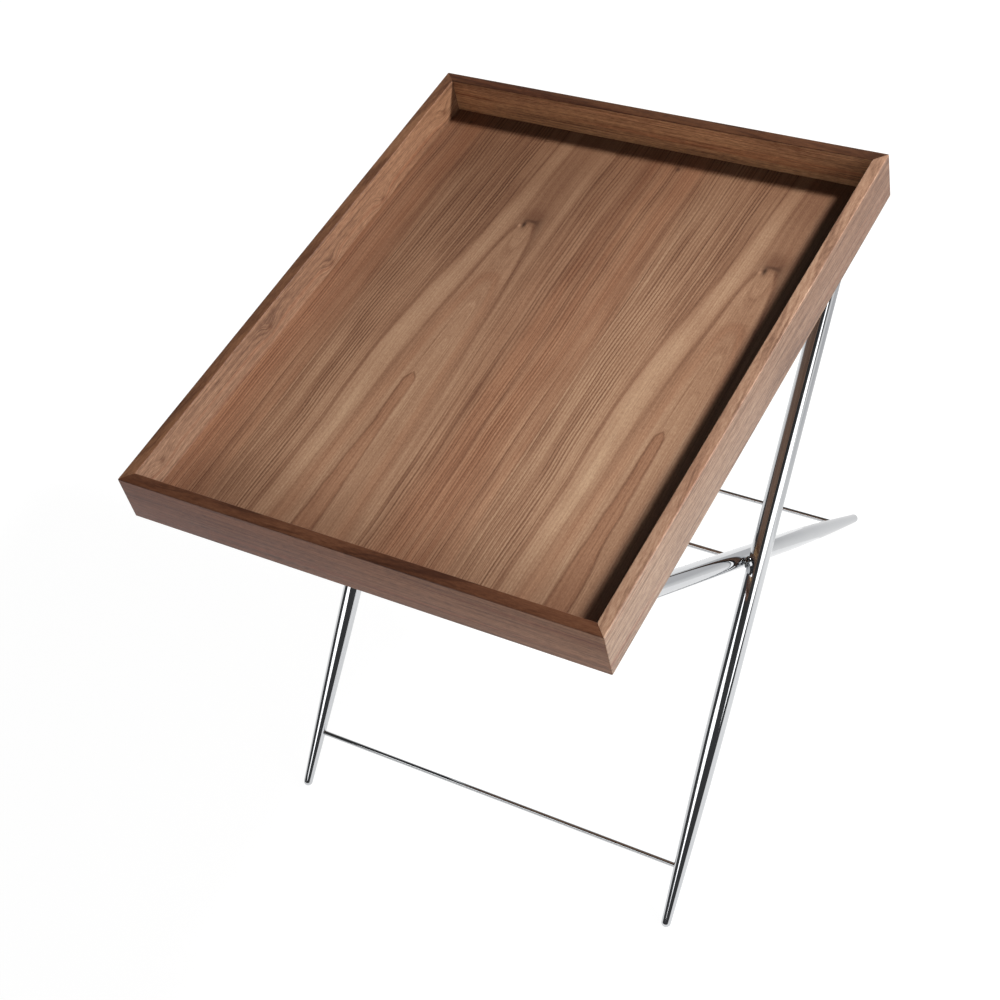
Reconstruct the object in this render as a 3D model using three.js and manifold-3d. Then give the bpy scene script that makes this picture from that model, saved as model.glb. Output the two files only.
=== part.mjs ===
// Folding tray table: a shallow walnut tray that rests on a chromed scissor stand.
// Millimetres. X runs to the right, Y to the back and Z up. The origin is on the floor
// under the middle of the tray.

import * as THREE from 'three';
import { mergeVertices } from 'three/addons/utils/BufferGeometryUtils.js';
import Module from 'manifold-3d';

const wasm = await Module();
wasm.setup();

// Tray
const TRAY_LENGTH = 600;
const TRAY_WIDTH = 485;
const TRAY_TOP = 525;
const RAIL_HEIGHT = 50;
const RAIL_THICKNESS = 12;
const WELL_DEPTH = 36.5;
const PANEL_THICKNESS = 9;
const TONGUE_THICKNESS = 4;
const TONGUE_DEPTH = 5;
const MITRE_KEY = { length: 8, thickness: 2.5, height: 26, base: 491 };

// Saddles: L-section battens under the panel that hook over the top rods
const SADDLE_HALF_LENGTH = 176;
const SADDLE_INNER_REACH = 14;
const SADDLE_SHOULDER = 8;
const SHOULDER_DROP = 6;
const SCREW_X = [-140, 0, 140];
const SCREW_INSET = 8;
const SCREW_LENGTH = 26;
const SCREW_RADIUS = 1.75;
const SCREW_HEAD_RADIUS = 3.5;
const SCREW_HEAD_HEIGHT = 2.2;

// Stand
const TUBE_RADIUS = 10;
const TUBE_WALL = 1.5;
const FOOT_RADIUS = 4.8;
const TAPER_LENGTH = 260;
const BORE_FLOOR = 24;
const BORE_START = 32;
const FOOT_SPREAD = 273;
const PIVOT_HEIGHT = 251;
const TOP_ROD_HEIGHT = 457;
const TOP_ROD_BELOW_END = 14;
const FOOT_ROD_ABOVE_TIP = 62.5;
const OUTER_LEG_X = 216.5;
const INNER_LEG_X = 195.1;
const ROD_RADIUS = 2.5;
const ROD_IN_TUBE = 6;
const FOOT_ROD_IN_TUBE = 3.2;
const PIVOT_THREAD_RADIUS = 2;
const BUSH_RADIUS = 4;
const BUSH_OVERHANG = 0.3;
const INSERT_DEPTH = 15;
const WASHER_RADIUS = 6.5;
const CAP_DOME = 3;
const CAP_RIM = 1.2;
const CAP_PLUG = 8;

// Clearances
const GAP = 0.3;
const RUNNING_GAP = 0.3;

// Round pieces
const TUBE_SIDES = 24;
const ROD_SIDES = 16;
const CAP_SIDES = 24;
const SCREW_SIDES = 12;
const TAPER_STEPS = 9;

// Worked out from the above
const PANEL_TOP = TRAY_TOP - WELL_DEPTH;
const PANEL_BOTTOM = PANEL_TOP - PANEL_THICKNESS;
const PIVOT_TO_BALL = Math.hypot(FOOT_SPREAD, PIVOT_HEIGHT - FOOT_RADIUS);
const LEAN = Math.asin(FOOT_SPREAD / PIVOT_TO_BALL);
const PIVOT_TO_TIP = PIVOT_TO_BALL + FOOT_RADIUS;
const PIVOT_TO_TOP_ROD = (TOP_ROD_HEIGHT - PIVOT_HEIGHT) / Math.cos(LEAN);
const PIVOT_TO_END = PIVOT_TO_TOP_ROD + TOP_ROD_BELOW_END;
const LEG_LENGTH = PIVOT_TO_TIP + PIVOT_TO_END;
const TOP_ROD_Y = PIVOT_TO_TOP_ROD * Math.sin(LEAN);
const BORE_RADIUS = TUBE_RADIUS - TUBE_WALL;
const SADDLE_BOTTOM = TOP_ROD_HEIGHT + ROD_RADIUS + GAP;
const SADDLE_TOP = PANEL_BOTTOM - GAP;
const SCREW_Y = TOP_ROD_Y - SCREW_INSET;

function finish(name, color, roughness, metalness) {
  return () => new THREE.MeshStandardMaterial({ name, color, roughness, metalness });
}

const walnut = finish('walnut', 0x8a5a3c, 0.42, 0);
const darkWalnut = finish('dark_walnut', 0x5e3826, 0.4, 0);
const hardwood = finish('hardwood', 0xa88458, 0.7, 0);
const chrome = finish('chrome', 0xdde0e3, 0.06, 1);
const steel = finish('steel', 0x9b9ea2, 0.35, 1);
const nylon = finish('nylon', 0xe6e4dc, 0.55, 0);
const capPlastic = finish('cap_plastic', 0x2a2a2c, 0.5, 0);

function addMesh(group, name, geometry, material) {
  const mesh = new THREE.Mesh(geometry, material());
  mesh.name = name;
  group.add(mesh);
  return mesh;
}

// A welded triangle mesh without collapsed triangles, as a solid that can be cut.
function solidOf(geometry) {
  const bare = geometry.clone();
  bare.deleteAttribute('normal');
  bare.deleteAttribute('uv');
  const welded = mergeVertices(bare, 1e-4);
  const corners = welded.index.array;
  const kept = [];
  for (let i = 0; i < corners.length; i += 3) {
    const [a, b, c] = [corners[i], corners[i + 1], corners[i + 2]];
    if (a !== b && b !== c && c !== a) kept.push(a, b, c);
  }
  const vertProperties = new Float32Array(welded.attributes.position.array);
  const triVerts = new Uint32Array(kept);
  return new wasm.Manifold(new wasm.Mesh({ numProp: 3, vertProperties, triVerts }));
}

function geometryOf(solid) {
  const mesh = solid.getMesh();
  const geometry = new THREE.BufferGeometry();
  geometry.setAttribute('position', new THREE.BufferAttribute(mesh.vertProperties, 3));
  geometry.setIndex(new THREE.BufferAttribute(mesh.triVerts, 1));
  geometry.computeVertexNormals();
  return geometry;
}

function cut(geometry, cutters) {
  const body = cutters.reduce((solid, cutter) => solid.subtract(solidOf(cutter)), solidOf(geometry));
  return geometryOf(body);
}

function box(low, high) {
  const size = high.map((value, axis) => value - low[axis]);
  const middle = high.map((value, axis) => (value + low[axis]) / 2);
  return new THREE.BoxGeometry(...size).translate(...middle);
}

// Turned piece about Z from [radius, height] pairs that run up the outside.
function turned(profile, sides) {
  const points = profile.map(([radius, height]) => new THREE.Vector2(radius, height));
  return new THREE.LatheGeometry(points, sides).rotateX(Math.PI / 2);
}

// Turned piece about X.
function turnedAlongX(profile, sides) {
  return turned(profile, sides).rotateY(Math.PI / 2);
}

function rodProfile(radius, halfLength, chamfer = 0.5) {
  return [
    [0, -halfLength],
    [radius - chamfer, -halfLength],
    [radius, -halfLength + chamfer],
    [radius, halfLength - chamfer],
    [radius - chamfer, halfLength],
    [0, halfLength],
  ];
}

// Ring profile, closed on itself, running up the outside and down the bore.
function ringProfile(outer, bore, low, high) {
  return [
    [bore, low],
    [outer, low],
    [outer, high],
    [bore, high],
    [bore, low],
  ];
}

function boreAlongX(radius, fromX, toX, z) {
  const length = Math.abs(toX - fromX);
  const hole = new THREE.CylinderGeometry(radius, radius, length, ROD_SIDES);
  return hole.rotateZ(Math.PI / 2).translate((fromX + toX) / 2, 0, z);
}

// ---- Tray ----

// Rail as a mitred board: its plan is a trapezoid, longer on the outside.
function railGeometry(halfLength, halfAcross, alongY) {
  const outer = halfLength - GAP / Math.SQRT2;
  const inner = outer - RAIL_THICKNESS;
  const innerFace = halfAcross - RAIL_THICKNESS;
  const corners = [
    [innerFace, -inner],
    [halfAcross, -outer],
    [halfAcross, outer],
    [innerFace, inner],
  ];
  const plan = new THREE.Shape(corners.map(([across, along]) => new THREE.Vector2(across, along)));
  const board = new THREE.ExtrudeGeometry(plan, { depth: RAIL_HEIGHT, bevelEnabled: false });
  board.translate(0, 0, TRAY_TOP - RAIL_HEIGHT);
  const tongueMiddle = (PANEL_TOP + PANEL_BOTTOM) / 2;
  const grooveHalf = TONGUE_THICKNESS / 2 + GAP;
  const groove = box(
    [innerFace - 1, -halfLength, tongueMiddle - grooveHalf],
    [innerFace + TONGUE_DEPTH + GAP, halfLength, tongueMiddle + grooveHalf],
  );
  const slots = [-1, 1].map((end) => mitreKeyBlock(halfAcross, end * halfLength, GAP));
  const rail = cut(board, [groove, ...slots]);
  return alongY ? rail : rail.rotateZ(Math.PI / 2);
}

// Block that bridges a mitre, at right angles to it, grown by a clearance all round.
function mitreKeyBlock(cornerX, cornerY, clearance) {
  const { length, thickness, height, base } = MITRE_KEY;
  const block = new THREE.BoxGeometry(
    length + 2 * clearance,
    thickness + 2 * clearance,
    height + 2 * clearance,
  );
  const turn = Math.sign(cornerX) === Math.sign(cornerY) ? -Math.PI / 4 : Math.PI / 4;
  block.rotateZ(turn);
  const inset = RAIL_THICKNESS / 2;
  return block.translate(
    cornerX - Math.sign(cornerX) * inset,
    cornerY - Math.sign(cornerY) * inset,
    base + height / 2,
  );
}

function panelGeometry() {
  const halfX = TRAY_WIDTH / 2 - RAIL_THICKNESS;
  const halfY = TRAY_LENGTH / 2 - RAIL_THICKNESS;
  const middle = (PANEL_TOP + PANEL_BOTTOM) / 2;
  const half = TONGUE_THICKNESS / 2;
  const board = box([GAP - halfX, GAP - halfY, PANEL_BOTTOM], [halfX - GAP, halfY - GAP, PANEL_TOP]);
  const tongue = box(
    [-halfX - TONGUE_DEPTH, -halfY - TONGUE_DEPTH, middle - half],
    [halfX + TONGUE_DEPTH, halfY + TONGUE_DEPTH, middle + half],
  );
  const pilots = [-1, 1].flatMap((side) => SCREW_X.map((x) => screwHole(x, side)));
  return cut(geometryOf(solidOf(board).add(solidOf(tongue))), pilots);
}

function screwHole(x, side) {
  const radius = SCREW_RADIUS + GAP;
  const length = SCREW_LENGTH + 3 * GAP;
  const hole = new THREE.CylinderGeometry(radius, radius, length, SCREW_SIDES).rotateX(Math.PI / 2);
  return hole.translate(x, side * SCREW_Y, SADDLE_BOTTOM - GAP + length / 2);
}

function screwHeadRecess(x, side) {
  const profile = [
    [0, -1],
    [SCREW_HEAD_RADIUS + GAP, -1],
    [SCREW_HEAD_RADIUS + GAP, 0.2],
    [SCREW_RADIUS + GAP, SCREW_HEAD_HEIGHT + GAP],
    [0, SCREW_HEAD_HEIGHT + GAP],
  ];
  const recess = turned(profile, SCREW_SIDES);
  return recess.translate(x, side * SCREW_Y, SADDLE_BOTTOM);
}

// L-section batten. Its shoulder is on the outer side of the rod and stops the legs
// spreading further.
function saddleGeometry(side) {
  const rodSide = TOP_ROD_Y + ROD_RADIUS + 2 * GAP;
  const outline = [
    [TOP_ROD_Y - SADDLE_INNER_REACH, SADDLE_BOTTOM],
    [rodSide, SADDLE_BOTTOM],
    [rodSide, SADDLE_BOTTOM - SHOULDER_DROP],
    [rodSide + SADDLE_SHOULDER, SADDLE_BOTTOM - SHOULDER_DROP],
    [rodSide + SADDLE_SHOULDER, SADDLE_TOP],
    [TOP_ROD_Y - SADDLE_INNER_REACH, SADDLE_TOP],
  ];
  const section = new THREE.Shape(outline.map(([y, z]) => new THREE.Vector2(y, z)));
  const batten = new THREE.ExtrudeGeometry(section, {
    depth: 2 * SADDLE_HALF_LENGTH,
    bevelEnabled: false,
  });
  // The section's axes become Y and Z, and the extrusion runs along X.
  batten.rotateX(Math.PI / 2).rotateZ(Math.PI / 2);
  batten.translate(-SADDLE_HALF_LENGTH, 0, 0);
  if (side < 0) batten.rotateZ(Math.PI);
  const holes = SCREW_X.flatMap((x) => [screwHole(x, side), screwHeadRecess(x, side)]);
  return cut(batten, holes);
}

function screwGeometry() {
  const tip = SCREW_LENGTH - 3;
  const socketDepth = 1;
  const socketRadius = 1.3;
  return turned(
    [
      [0, socketDepth],
      [socketRadius, socketDepth],
      [socketRadius, 0],
      [SCREW_HEAD_RADIUS, 0],
      [SCREW_RADIUS, SCREW_HEAD_HEIGHT],
      [SCREW_RADIUS, tip],
      [0, SCREW_LENGTH],
    ],
    SCREW_SIDES,
  );
}

function buildTray() {
  const tray = new THREE.Group();
  const halfX = TRAY_WIDTH / 2;
  const halfY = TRAY_LENGTH / 2;
  addMesh(tray, 'tray_panel', panelGeometry(), walnut);
  addMesh(tray, 'rail_right', railGeometry(halfY, halfX, true), darkWalnut);
  addMesh(tray, 'rail_left', railGeometry(halfY, halfX, true), darkWalnut).rotation.z = Math.PI;
  addMesh(tray, 'rail_back', railGeometry(halfX, halfY, false), darkWalnut);
  addMesh(tray, 'rail_front', railGeometry(halfX, halfY, false), darkWalnut).rotation.z = Math.PI;
  for (const [sideY, endName] of [[-1, 'front'], [1, 'back']]) {
    for (const [sideX, sideName] of [[-1, 'left'], [1, 'right']]) {
      const key = mitreKeyBlock(sideX * halfX, sideY * halfY, 0);
      addMesh(tray, `mitre_key_${endName}_${sideName}`, key, hardwood);
    }
    addMesh(tray, `saddle_${endName}`, saddleGeometry(sideY), hardwood);
    SCREW_X.forEach((x, index) => {
      const screw = addMesh(tray, `saddle_screw_${endName}_${index + 1}`, screwGeometry(), steel);
      screw.position.set(x, sideY * SCREW_Y, SADDLE_BOTTOM + GAP);
    });
  }
  return tray;
}

// ---- Stand ----

// Outside radius of a leg at a distance from its tip: straight above, and drawn in
// along a quarter sine over the taper.
function legRadius(fromTip) {
  const along = Math.min(1, (fromTip - FOOT_RADIUS) / (TAPER_LENGTH - FOOT_RADIUS));
  return FOOT_RADIUS + (TUBE_RADIUS - FOOT_RADIUS) * Math.sin((Math.PI / 2) * along);
}

// Round end of the foot, with a ring of points exactly where the leaning leg meets the floor.
function footArc() {
  const angles = [];
  for (let i = 1; i <= 3; i += 1) angles.push((LEAN * i) / 3);
  for (let i = 1; i <= 3; i += 1) angles.push(LEAN + ((Math.PI / 2 - LEAN) * i) / 3);
  return angles.map((angle) => [
    FOOT_RADIUS * Math.sin(angle),
    FOOT_RADIUS * (1 - Math.cos(angle)),
  ]);
}

// Leg along Z with the pivot at the origin: a tube closed at the foot and open on top.
function legGeometry(inward, holes) {
  const taper = [];
  for (let i = 1; i <= TAPER_STEPS; i += 1) {
    taper.push(FOOT_RADIUS + ((TAPER_LENGTH - FOOT_RADIUS) * i) / TAPER_STEPS);
  }
  const outside = [
    [0, 0],
    ...footArc(),
    ...taper.map((s) => [legRadius(s), s]),
    [TUBE_RADIUS, LEG_LENGTH],
  ];
  const boreTaper = taper.filter((s) => s > BORE_START + TUBE_WALL).reverse();
  const bore = [
    [BORE_RADIUS, LEG_LENGTH],
    ...boreTaper.map((s) => [legRadius(s) - TUBE_WALL, s]),
    [legRadius(BORE_START) - TUBE_WALL, BORE_START],
    [0, BORE_FLOOR],
  ];
  const tube = turned([...outside, ...bore], TUBE_SIDES).translate(0, 0, -PIVOT_TO_TIP);
  const cutters = holes.map(({ radius, z, through }) => {
    const farSide = through ? -inward * (TUBE_RADIUS + 2) : 0;
    return boreAlongX(radius, inward * (TUBE_RADIUS + 2), farSide, z);
  });
  return cut(tube, cutters);
}

function capGeometry() {
  const plugRadius = BORE_RADIUS - GAP;
  const sphere = (TUBE_RADIUS ** 2 + CAP_DOME ** 2) / (2 * CAP_DOME);
  const edgeAngle = Math.asin(TUBE_RADIUS / sphere);
  const dome = [0.75, 0.5, 0.25].map((share) => {
    const angle = edgeAngle * share;
    return [sphere * Math.sin(angle), CAP_RIM + CAP_DOME - sphere * (1 - Math.cos(angle))];
  });
  return turned(
    [
      [0, -CAP_PLUG],
      [plugRadius - 1, -CAP_PLUG],
      [plugRadius, 1 - CAP_PLUG],
      [plugRadius, 0],
      [TUBE_RADIUS, 0],
      [TUBE_RADIUS, CAP_RIM],
      ...dome,
      [0, CAP_RIM + CAP_DOME],
    ],
    CAP_SIDES,
  );
}

// Two legs, their end caps, and the rods that tie them across the top and at the feet.
function buildLegPair(label, legX, pivotHole) {
  const frame = new THREE.Group();
  const footRodZ = FOOT_ROD_ABOVE_TIP - PIVOT_TO_TIP;
  const rodHole = ROD_RADIUS + RUNNING_GAP;
  const holes = [
    { radius: rodHole, z: footRodZ, through: false },
    { radius: rodHole, z: PIVOT_TO_TOP_ROD, through: false },
    { radius: BUSH_RADIUS + GAP, z: 0, through: pivotHole === 'through' },
  ];
  for (const [side, sideName] of [[-1, 'left'], [1, 'right']]) {
    const leg = addMesh(frame, `leg_${label}_${sideName}`, legGeometry(-side, holes), chrome);
    leg.position.x = side * legX;
    const cap = addMesh(frame, `leg_cap_${label}_${sideName}`, capGeometry(), capPlastic);
    cap.position.set(side * legX, 0, PIVOT_TO_END + GAP);
  }
  const topRod = rodProfile(ROD_RADIUS, legX + ROD_IN_TUBE);
  const footRod = rodProfile(ROD_RADIUS, legX + FOOT_ROD_IN_TUBE);
  addMesh(frame, `top_rod_${label}`, turnedAlongX(topRod, ROD_SIDES), chrome)
    .position.z = PIVOT_TO_TOP_ROD;
  addMesh(frame, `foot_rod_${label}`, turnedAlongX(footRod, ROD_SIDES), chrome)
    .position.z = footRodZ;
  frame.position.z = PIVOT_HEIGHT;
  return frame;
}

function pivotRodProfile() {
  const shoulder = OUTER_LEG_X - TUBE_RADIUS - GAP;
  const end = OUTER_LEG_X - TUBE_RADIUS + INSERT_DEPTH - 2;
  return [
    [0, -end],
    [PIVOT_THREAD_RADIUS, -end],
    [PIVOT_THREAD_RADIUS, -shoulder],
    [ROD_RADIUS, -shoulder],
    [ROD_RADIUS, shoulder],
    [PIVOT_THREAD_RADIUS, shoulder],
    [PIVOT_THREAD_RADIUS, end],
    [0, end],
  ];
}

function buildOuterFrame() {
  const frame = buildLegPair('outer', OUTER_LEG_X, 'blind');
  const innerFace = OUTER_LEG_X - TUBE_RADIUS;
  const legGap = OUTER_LEG_X - INNER_LEG_X - 2 * TUBE_RADIUS;
  const washerHalf = legGap / 2 - GAP;
  const washerX = innerFace - legGap / 2;
  addMesh(frame, 'pivot_rod', turnedAlongX(pivotRodProfile(), ROD_SIDES), chrome);
  for (const [side, sideName] of [[-1, 'left'], [1, 'right']]) {
    const washer = ringProfile(WASHER_RADIUS, ROD_RADIUS + RUNNING_GAP, -washerHalf, washerHalf);
    addMesh(frame, `pivot_washer_${sideName}`, turnedAlongX(washer, TUBE_SIDES), chrome)
      .position.x = side * washerX;
    const insert = ringProfile(BUSH_RADIUS, PIVOT_THREAD_RADIUS + GAP, 0, INSERT_DEPTH);
    const sleeve = turnedAlongX(insert, ROD_SIDES);
    if (side < 0) sleeve.rotateZ(Math.PI);
    addMesh(frame, `pivot_insert_${sideName}`, sleeve, steel).position.x = side * innerFace;
  }
  frame.rotation.x = -LEAN;
  return frame;
}

function buildInnerFrame() {
  const frame = buildLegPair('inner', INNER_LEG_X, 'through');
  const half = TUBE_RADIUS + BUSH_OVERHANG;
  for (const [side, sideName] of [[-1, 'left'], [1, 'right']]) {
    const bush = ringProfile(BUSH_RADIUS, ROD_RADIUS + RUNNING_GAP, -half, half);
    addMesh(frame, `pivot_bush_${sideName}`, turnedAlongX(bush, ROD_SIDES), nylon)
      .position.x = side * INNER_LEG_X;
  }
  frame.rotation.x = LEAN;
  return frame;
}

const table = new THREE.Group();
table.add(buildOuterFrame(), buildInnerFrame(), buildTray());

export default table;
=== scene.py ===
"""Folding tray table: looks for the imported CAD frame. Metres, +Z up, origin on the floor."""

import math

import bmesh
import bpy
from mathutils import Matrix, Vector


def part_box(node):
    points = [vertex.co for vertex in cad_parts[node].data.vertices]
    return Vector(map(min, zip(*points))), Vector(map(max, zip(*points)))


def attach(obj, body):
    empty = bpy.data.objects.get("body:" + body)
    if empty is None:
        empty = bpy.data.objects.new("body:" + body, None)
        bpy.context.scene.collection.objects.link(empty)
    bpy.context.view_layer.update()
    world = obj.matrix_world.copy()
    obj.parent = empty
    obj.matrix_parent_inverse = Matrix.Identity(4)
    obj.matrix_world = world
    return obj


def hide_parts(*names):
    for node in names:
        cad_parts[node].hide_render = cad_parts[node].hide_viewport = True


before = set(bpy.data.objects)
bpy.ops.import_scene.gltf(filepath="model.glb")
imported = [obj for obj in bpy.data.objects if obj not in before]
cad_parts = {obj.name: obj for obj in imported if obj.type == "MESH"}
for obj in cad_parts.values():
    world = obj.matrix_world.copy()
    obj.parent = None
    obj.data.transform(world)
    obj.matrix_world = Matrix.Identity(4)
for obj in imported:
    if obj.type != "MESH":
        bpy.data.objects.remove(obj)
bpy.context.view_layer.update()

MM = 0.001


# ---------------------------------------------------------------- measures from the frame

def centre(node):
    low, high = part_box(node)
    return (low + high) / 2


def extent(node):
    low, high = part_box(node)
    return high - low


panel_low, panel_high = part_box("tray_panel")
rail_low, rail_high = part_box("rail_right")
HALF_WIDTH = rail_high.x
HALF_LENGTH = -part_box("rail_front")[0].y
RAIL = rail_high.x - rail_low.x
TRAY_TOP = rail_high.z
TRAY_BOTTOM = rail_low.z
PANEL_TOP = panel_high.z
PANEL_BOTTOM = panel_low.z
LEG_X = {label: centre(f"leg_{label}_right").x for label in ("outer", "inner")}
TUBE_RADIUS = extent("leg_outer_right").x / 2
ROD_RADIUS = extent("top_rod_outer").z / 2
PIVOT = centre("pivot_rod")


# ---------------------------------------------------------------- camera

# From a perspective fit of the tray's corners and the ends of the legs.
AIM = Vector((0.0408, -0.1378, 0.430))
CAMERA_AZIMUTH = math.radians(40.40)
CAMERA_ELEVATION = math.radians(47.69)
CAMERA_ROLL = math.radians(15.57)
CAMERA_DISTANCE = 1.6842
CAMERA_LENS = 67.41
SENSOR_WIDTH = 36
CLIP_NEAR = 0.05
CLIP_FAR = 60


def make_camera():
    level = math.cos(CAMERA_ELEVATION)
    back = Vector((
        level * math.sin(CAMERA_AZIMUTH),
        -level * math.cos(CAMERA_AZIMUTH),
        math.sin(CAMERA_ELEVATION),
    ))
    right = Vector((0, 0, 1)).cross(back).normalized()
    up = back.cross(right)
    rolled_up = up * math.cos(CAMERA_ROLL) + right * math.sin(CAMERA_ROLL)
    rolled_right = rolled_up.cross(back)
    data = bpy.data.cameras.new("camera")
    data.lens = CAMERA_LENS
    data.sensor_width = SENSOR_WIDTH
    data.clip_start = CLIP_NEAR
    data.clip_end = CLIP_FAR
    camera = bpy.data.objects.new("camera", data)
    bpy.context.scene.collection.objects.link(camera)
    axes = Matrix((rolled_right, rolled_up, back)).transposed().to_4x4()
    camera.matrix_world = Matrix.Translation(AIM + back * CAMERA_DISTANCE) @ axes
    bpy.context.scene.camera = camera


make_camera()


# ---------------------------------------------------------------- node helper

class Tree:
    """Short calls for building a shader node tree."""

    def __init__(self, tree):
        self.tree = tree
        self.tree.nodes.clear()

    def add(self, kind, **settings):
        node = self.tree.nodes.new(kind)
        for name, value in settings.items():
            setattr(node, name, value)
        return node

    def feed(self, socket, value):
        if isinstance(value, bpy.types.NodeSocket):
            self.tree.links.new(value, socket)
        elif value is not None:
            socket.default_value = value

    def math(self, operation, *values, clamp=False):
        node = self.add("ShaderNodeMath", operation=operation, use_clamp=clamp)
        for socket, value in zip(node.inputs, values):
            self.feed(socket, value)
        return node.outputs[0]

    def sum(self, *values):
        total = values[0]
        for value in values[1:]:
            total = self.math("ADD", total, value)
        return total

    def times(self, a, b):
        return self.math("MULTIPLY", a, b)

    def minus(self, a, b):
        return self.math("SUBTRACT", a, b)

    def step(self, value, low, high, out_low=0.0, out_high=1.0):
        """Smooth rise from out_low to out_high while value goes from low to high."""
        node = self.add("ShaderNodeMapRange", interpolation_type="SMOOTHSTEP")
        for socket, item in zip(node.inputs, (value, low, high, out_low, out_high)):
            self.feed(socket, item)
        return node.outputs[0]

    def bump_at(self, value, middle, width):
        """Bell of height 1 where value is middle, down to 0.14 at width either side."""
        away = self.math("DIVIDE", self.minus(value, middle), width)
        square = self.times(away, away)
        return self.math("EXPONENT", self.times(square, -2.0))

    def xyz(self, x, y, z):
        node = self.add("ShaderNodeCombineXYZ")
        for socket, value in zip(node.inputs, (x, y, z)):
            self.feed(socket, value)
        return node.outputs[0]

    def split(self, vector):
        node = self.add("ShaderNodeSeparateXYZ")
        self.feed(node.inputs[0], vector)
        return node.outputs[0], node.outputs[1], node.outputs[2]

    def noise(self, vector, scale=1.0, detail=2.0, roughness=0.5):
        node = self.add("ShaderNodeTexNoise", noise_dimensions="3D")
        self.feed(node.inputs["Vector"], vector)
        self.feed(node.inputs["Scale"], scale)
        self.feed(node.inputs["Detail"], detail)
        self.feed(node.inputs["Roughness"], roughness)
        return node.outputs["Fac"]

    def streaks(self, a, a_scale, b, b_scale, depth, detail=2.0, roughness=0.5):
        """Noise stretched by different scales, per millimetre, across and along the grain."""
        place = self.xyz(self.times(a, a_scale), self.times(b, b_scale), depth)
        return self.noise(place, 1.0, detail, roughness)

    def mix(self, share, a, b, blend="MIX"):
        """From a to b by share; with MULTIPLY, from a to a times b."""
        node = self.add("ShaderNodeMix", data_type="RGBA", blend_type=blend)
        for socket, value in zip((node.inputs[0], node.inputs[6], node.inputs[7]), (share, a, b)):
            self.feed(socket, value)
        return node.outputs[2]

    def ramp(self, value, stops):
        node = self.add("ShaderNodeValToRGB")
        self.feed(node.inputs[0], value)
        elements = node.color_ramp.elements
        while len(elements) > 1:
            elements.remove(elements[-1])
        elements[0].position = stops[0][0]
        elements[0].color = stops[0][1]
        for position, colour in stops[1:]:
            elements.new(position).color = colour
        return node.outputs[0]

    def bump(self, height, strength, distance):
        node = self.add("ShaderNodeBump")
        self.feed(node.inputs["Height"], height)
        self.feed(node.inputs["Strength"], strength)
        self.feed(node.inputs["Distance"], distance)
        return node.outputs[0]

    def object_mm(self):
        """Object coordinates in millimetres, as three sockets."""
        coordinates = self.add("ShaderNodeTexCoord").outputs["Object"]
        scaled = self.add("ShaderNodeVectorMath", operation="SCALE")
        self.feed(scaled.inputs[0], coordinates)
        self.feed(scaled.inputs["Scale"], 1 / MM)
        return self.split(scaled.outputs[0])


def rgb(red, green, blue):
    """Linear colour from 0 to 255 screen values."""
    def linear(value):
        share = value / 255
        return share / 12.92 if share <= 0.04045 else ((share + 0.055) / 1.055) ** 2.4
    return (linear(red), linear(green), linear(blue), 1.0)


def new_material(name, **fixed):
    """Material, its tree and its shader, with the shader's fixed sockets set."""
    material = bpy.data.materials.new(name)
    material.use_nodes = True
    tree = Tree(material.node_tree)
    shader = tree.add("ShaderNodeBsdfPrincipled")
    for socket, value in fixed.items():
        shader.inputs[socket.replace("_", " ")].default_value = value
    output = tree.add("ShaderNodeOutputMaterial")
    tree.tree.links.new(shader.outputs[0], output.inputs[0])
    return material, tree, shader


# ---------------------------------------------------------------- walnut

def pores(tree, along, across, seed):
    """Short dark vessel lines that run with the grain, from 0 to 1."""
    fine = tree.streaks(across, 2.6, along, 0.11, seed, 1.0)
    coarse = tree.streaks(across, 1.1, along, 0.05, seed + 7.0)
    return tree.sum(
        tree.times(tree.step(fine, 0.56, 0.74), 0.6),
        tree.times(tree.step(coarse, 0.55, 0.72), 0.4),
    )


def finish_wood(tree, shader, colour, along, across, height):
    """Lacquered wood: colour, slightly uneven satin sheen and a fine open grain."""
    tree.feed(shader.inputs["Base Color"], colour)
    smudge = tree.streaks(across, 0.02, along, 0.02, 3.0, 3.0)
    grain = tree.times(height, 0.10)
    tree.feed(shader.inputs["Roughness"], tree.sum(0.40, tree.times(smudge, 0.10), grain))
    tree.feed(shader.inputs["Normal"], tree.bump(tree.times(height, -1.0), 0.35, 0.12 * MM))


# Layout of the veneer, in millimetres: the leaves, and each feature's place on a leaf, counted
# across from the heart or along from the middle of the tray.
LEAF_WIDTH = 252.0
LEAF_START = -182.0
LEAF_SLIP = 8.0
HEART = 114.0
STRIPE = -50.0
STRIPE_WIDTH = 17.0
LINE_PITCH = 3.1
KNOT_HEIGHT = 148.0
INNER_ARCH_HEIGHT = 74.0
ARCH_ROUND = 21.0
ARCH_CUBIC = 0.012
ARCH_SLOPE = 16.0
FINGER_TIP = -66.0
FINGER_OFFSET = -10.0

# A broad painted pool of light, across the tray from its middle.
PAINTED_LIGHT_ZONE = 95.0
PAINTED_LIGHT_ZONE_WIDTH = 75.0


def leaf_coordinates(tree):
    """Position in millimetres: x, y, z on the tray, v along a leaf of veneer and off_heart
    across it. Every leaf shows the same figure, a little higher than the leaf before."""
    x, y, z = tree.object_mm()
    leaves = tree.math("DIVIDE", tree.minus(x, LEAF_START), LEAF_WIDTH)
    leaf = tree.math("FLOOR", leaves)
    u = tree.times(tree.minus(leaves, leaf), LEAF_WIDTH)
    v = tree.minus(y, tree.times(leaf, LEAF_SLIP))
    sway = tree.streaks(u, 0.008, v, 0.006, 1.7, 1.0)
    ripple = tree.streaks(u, 0.03, v, 0.022, 9.1)
    off_heart = tree.sum(
        tree.minus(u, HEART),
        tree.times(tree.minus(sway, 0.5), 9.0),
        tree.times(tree.minus(ripple, 0.5), 1.3),
    )
    return x, y, z, v, off_heart


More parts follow.
